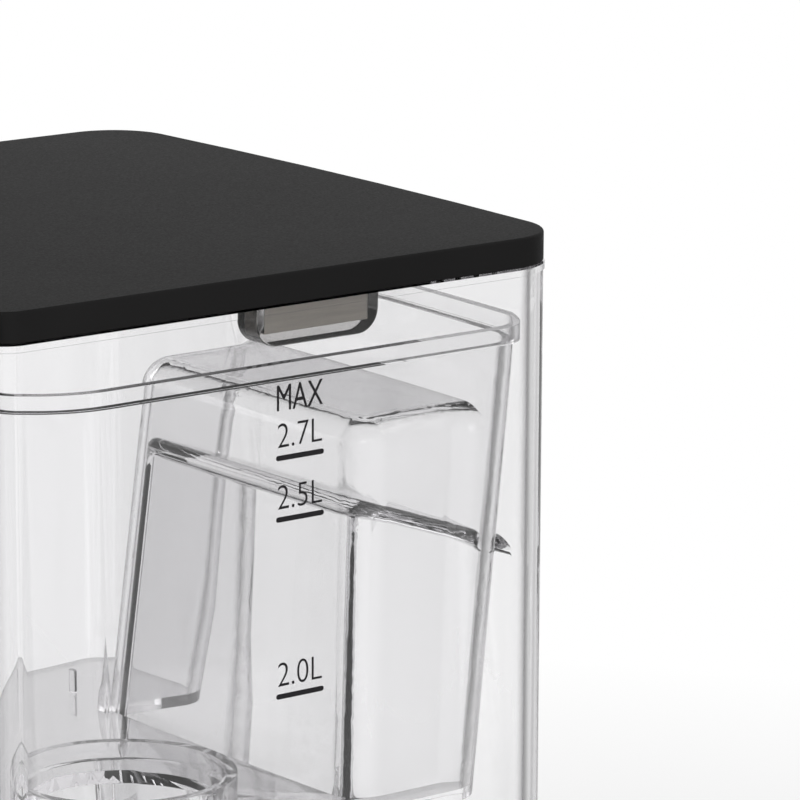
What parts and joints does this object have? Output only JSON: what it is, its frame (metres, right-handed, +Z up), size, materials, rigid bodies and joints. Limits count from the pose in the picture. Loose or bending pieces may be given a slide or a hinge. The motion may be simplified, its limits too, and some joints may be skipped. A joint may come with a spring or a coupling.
{
  "type": "hot water dispenser",
  "caption": "Counter-top hot water dispenser with a clear lift-off tank behind, an inner reservoir with a filter seat, a flat lid, an overhanging head and a drip tray.",
  "frame": {"origin": "bottom centre of the whole machine, under the feet", "axes": "+Z up, -Y towards the user, +X the side with the litre scale"},
  "size_m": [0.1404, 0.3003, 0.288],
  "materials": {
    "black_plastic": "fine matte texture",
    "panel_gloss": "polished",
    "display_glass": "polished, dark tint",
    "button_plastic": "satin",
    "rubber": "matte",
    "silicone": "satin, milky",
    "steel": "brushed",
    "motor_metal": "satin",
    "board_green": "lacquered",
    "component_plastic": "moulded",
    "white_plastic": "moulded",
    "float_red": "moulded",
    "clear_tank": "clear plastic, polished",
    "clear_reservoir": "clear plastic, polished",
    "smoke_plastic": "tinted plastic, satin",
    "magnet_metal": "plated, lightly brushed",
    "blade_metal": "plated"
  },
  "bodies": {
    "housing": {"base_plate": "black_plastic", "feet": "rubber", "base_screws": "steel", "base_housing": "black_plastic", "column_shell": "black_plastic", "rear_panel": "black_plastic", "rear_panel_screws": "steel", "head_shell": "black_plastic", "top_cover": "black_plastic", "control_panel": "panel_gloss", "display_window": "display_glass", "control_board": "board_green", "display_module": "component_plastic", "encoder": "component_plastic", "button_switches": "component_plastic", "outlet_nozzle": "black_plastic", "nozzle_tip": "silicone", "steam_separator": "white_plastic", "tank_dock": "black_plastic", "pump_motor": "motor_metal", "pump_head": "white_plastic", "pump_mounts": "rubber", "heater_tube": "steel", "heater_straps": "steel", "thermostats": "motor_metal", "temperature_probe": "motor_metal", "dock_hose": "silicone", "feed_hose": "silicone", "outlet_hose": "silicone", "main_board": "board_green", "board_components": "component_plastic", "power_inlet": "black_plastic", "inlet_blades": "blade_metal", "tank_sensor": "component_plastic"},
    "knob": {"selector_knob": "black_plastic", "encoder_shaft": "steel"},
    "dispense": {"dispense_button": "button_plastic"},
    "lock": {"lock_button": "button_plastic"},
    "tray": {"drip_tray": "black_plastic"},
    "grille": {"drip_grille": "steel"},
    "float": {"tray_float": "float_red"},
    "tank": {"tank_shell": "clear_tank", "valve_body": "white_plastic", "valve_ring": "rubber", "valve_spring": "steel"},
    "poppet": {"valve_poppet": "white_plastic"},
    "reservoir": {"inner_reservoir": "clear_reservoir"},
    "filter": {"filter_cartridge": "white_plastic"},
    "lid": {"lid_cover": "black_plastic", "lid_clip_left": "smoke_plastic", "lid_clip_right": "smoke_plastic", "lid_magnet_left": "magnet_metal", "lid_magnet_right": "magnet_metal"}
  },
  "joints": [
    {"name": "knob_turn", "type": "hinge", "parent": "housing", "child": "knob", "pos_m": [0, -0.14, 0.254], "axis": [0, 1, 0], "range_deg": [-135, 135]},
    {"name": "dispense_press", "type": "slide", "parent": "housing", "child": "dispense", "axis": [0, 1, 0], "range_m": [0, 0.0008], "stiffness_N_per_m": 900, "springref_m": -0.0005},
    {"name": "lock_press", "type": "slide", "parent": "housing", "child": "lock", "axis": [0, 1, 0], "range_m": [0, 0.0008], "stiffness_N_per_m": 900, "springref_m": -0.0005},
    {"name": "tray_slide", "type": "slide", "parent": "housing", "child": "tray", "axis": [0, -1, 0], "range_m": [0, 0.095]},
    {"name": "grille_lift", "type": "slide", "parent": "tray", "child": "grille", "axis": [0, 0, 1], "range_m": [0, 0.03]},
    {"name": "float_rise", "type": "slide", "parent": "tray", "child": "float", "axis": [0, 0, 1], "range_m": [0, 0.006]},
    {"name": "tank_lift", "type": "slide", "parent": "housing", "child": "tank", "axis": [0, 0, 1], "range_m": [0, 0.05]},
    {"name": "valve_close", "type": "slide", "parent": "tank", "child": "poppet", "axis": [0, 0, 1], "range_m": [-0.003, 0], "deforming": ["valve_spring"]},
    {"name": "reservoir_lift", "type": "slide", "parent": "tank", "child": "reservoir", "axis": [0, 0, 1], "range_m": [0, 0.12]},
    {"name": "filter_lift", "type": "slide", "parent": "reservoir", "child": "filter", "axis": [0, 0, 1], "range_m": [0, 0.05]},
    {"name": "lid_lift", "type": "slide", "parent": "reservoir", "child": "lid", "axis": [0, 0, 1], "range_m": [0, 0.06]}
  ],
  "couplings": [
    {"joint": "valve_close", "follows": "tank_lift", "ratio": -0.06}
  ]
}
